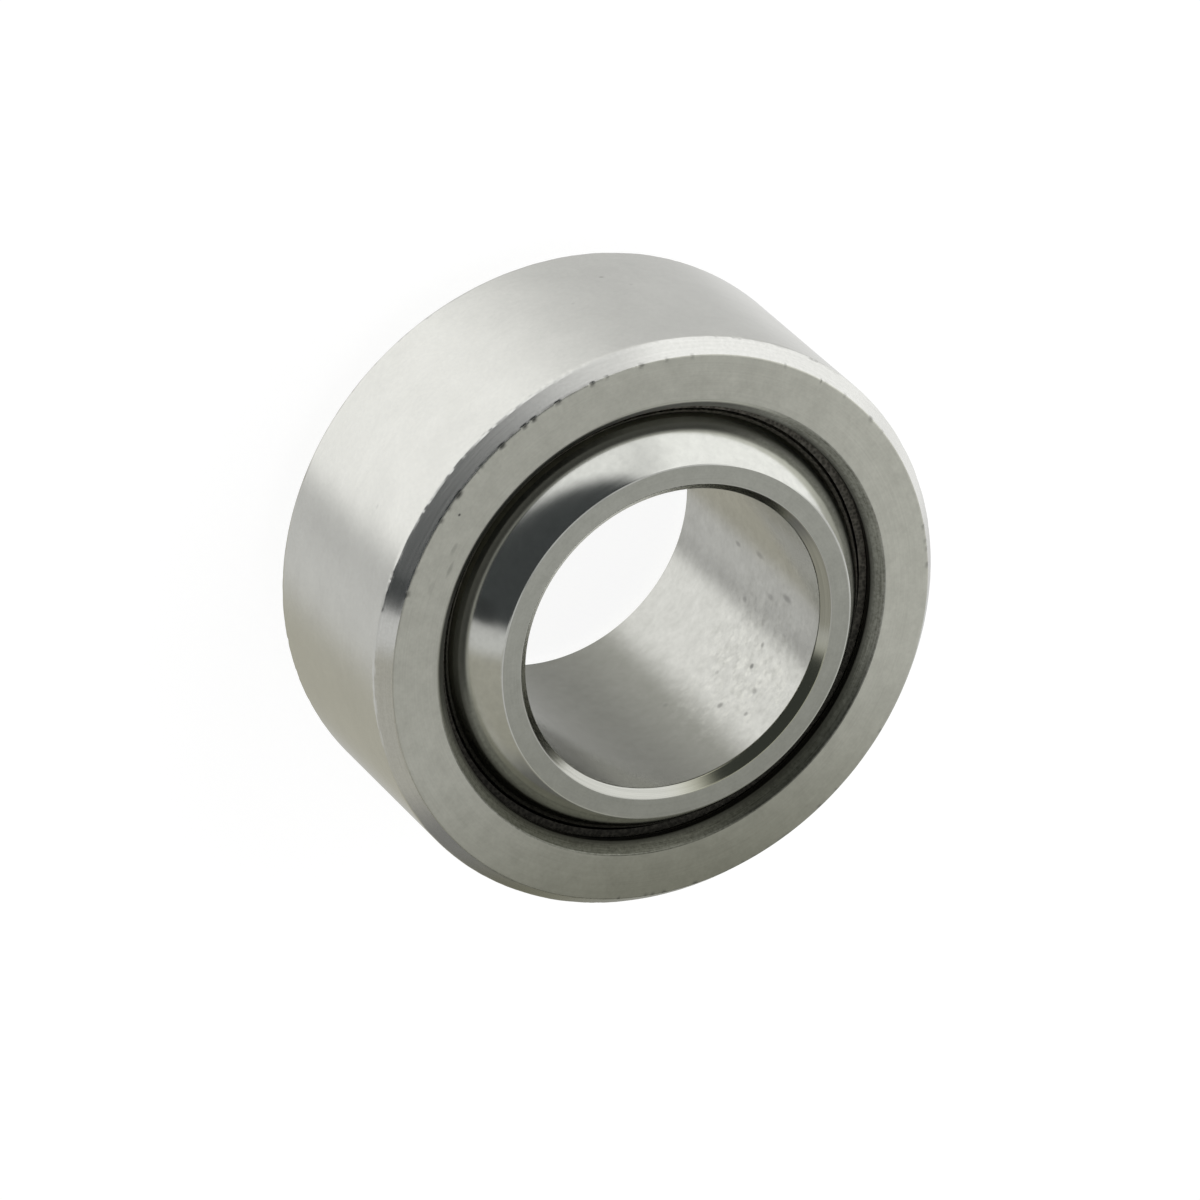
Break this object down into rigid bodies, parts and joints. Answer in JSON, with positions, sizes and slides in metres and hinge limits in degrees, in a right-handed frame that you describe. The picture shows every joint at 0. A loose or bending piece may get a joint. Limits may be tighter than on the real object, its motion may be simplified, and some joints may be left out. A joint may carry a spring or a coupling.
{
  "type": "spherical plain bearing",
  "caption": "Lined spherical plain bearing: a bored steel ball that tilts and turns in a chamfered outer ring pressed into a housing or rod end.",
  "frame": {"origin": "common centre of the ball and the raceway, on the bore's axis halfway between the end faces", "axes": "+Z along the bore's axis, up from the end face that the bearing lies on; X and Y lie in the mid-plane, and the ball tilts about X"},
  "size_m": [0.0302, 0.0302, 0.0158],
  "materials": {
    "outer_ring_steel": "ground outside, finely turned faces, unplated",
    "liner_fabric": "dark woven low-friction liner, bonded, matte",
    "inner_ring_steel": "polished ball surface, ground faces, honed bore"
  },
  "bodies": {
    "outer": {"outer_ring": "outer_ring_steel", "liner": "liner_fabric"},
    "inner": {"inner_ring": "inner_ring_steel"}
  },
  "joints": [
    {"name": "ball_tilt", "type": "hinge", "parent": "outer", "child": "inner", "pos_m": [0, 0, 0], "axis": [1, 0, 0], "range_deg": [-8, 8]}
  ]
}
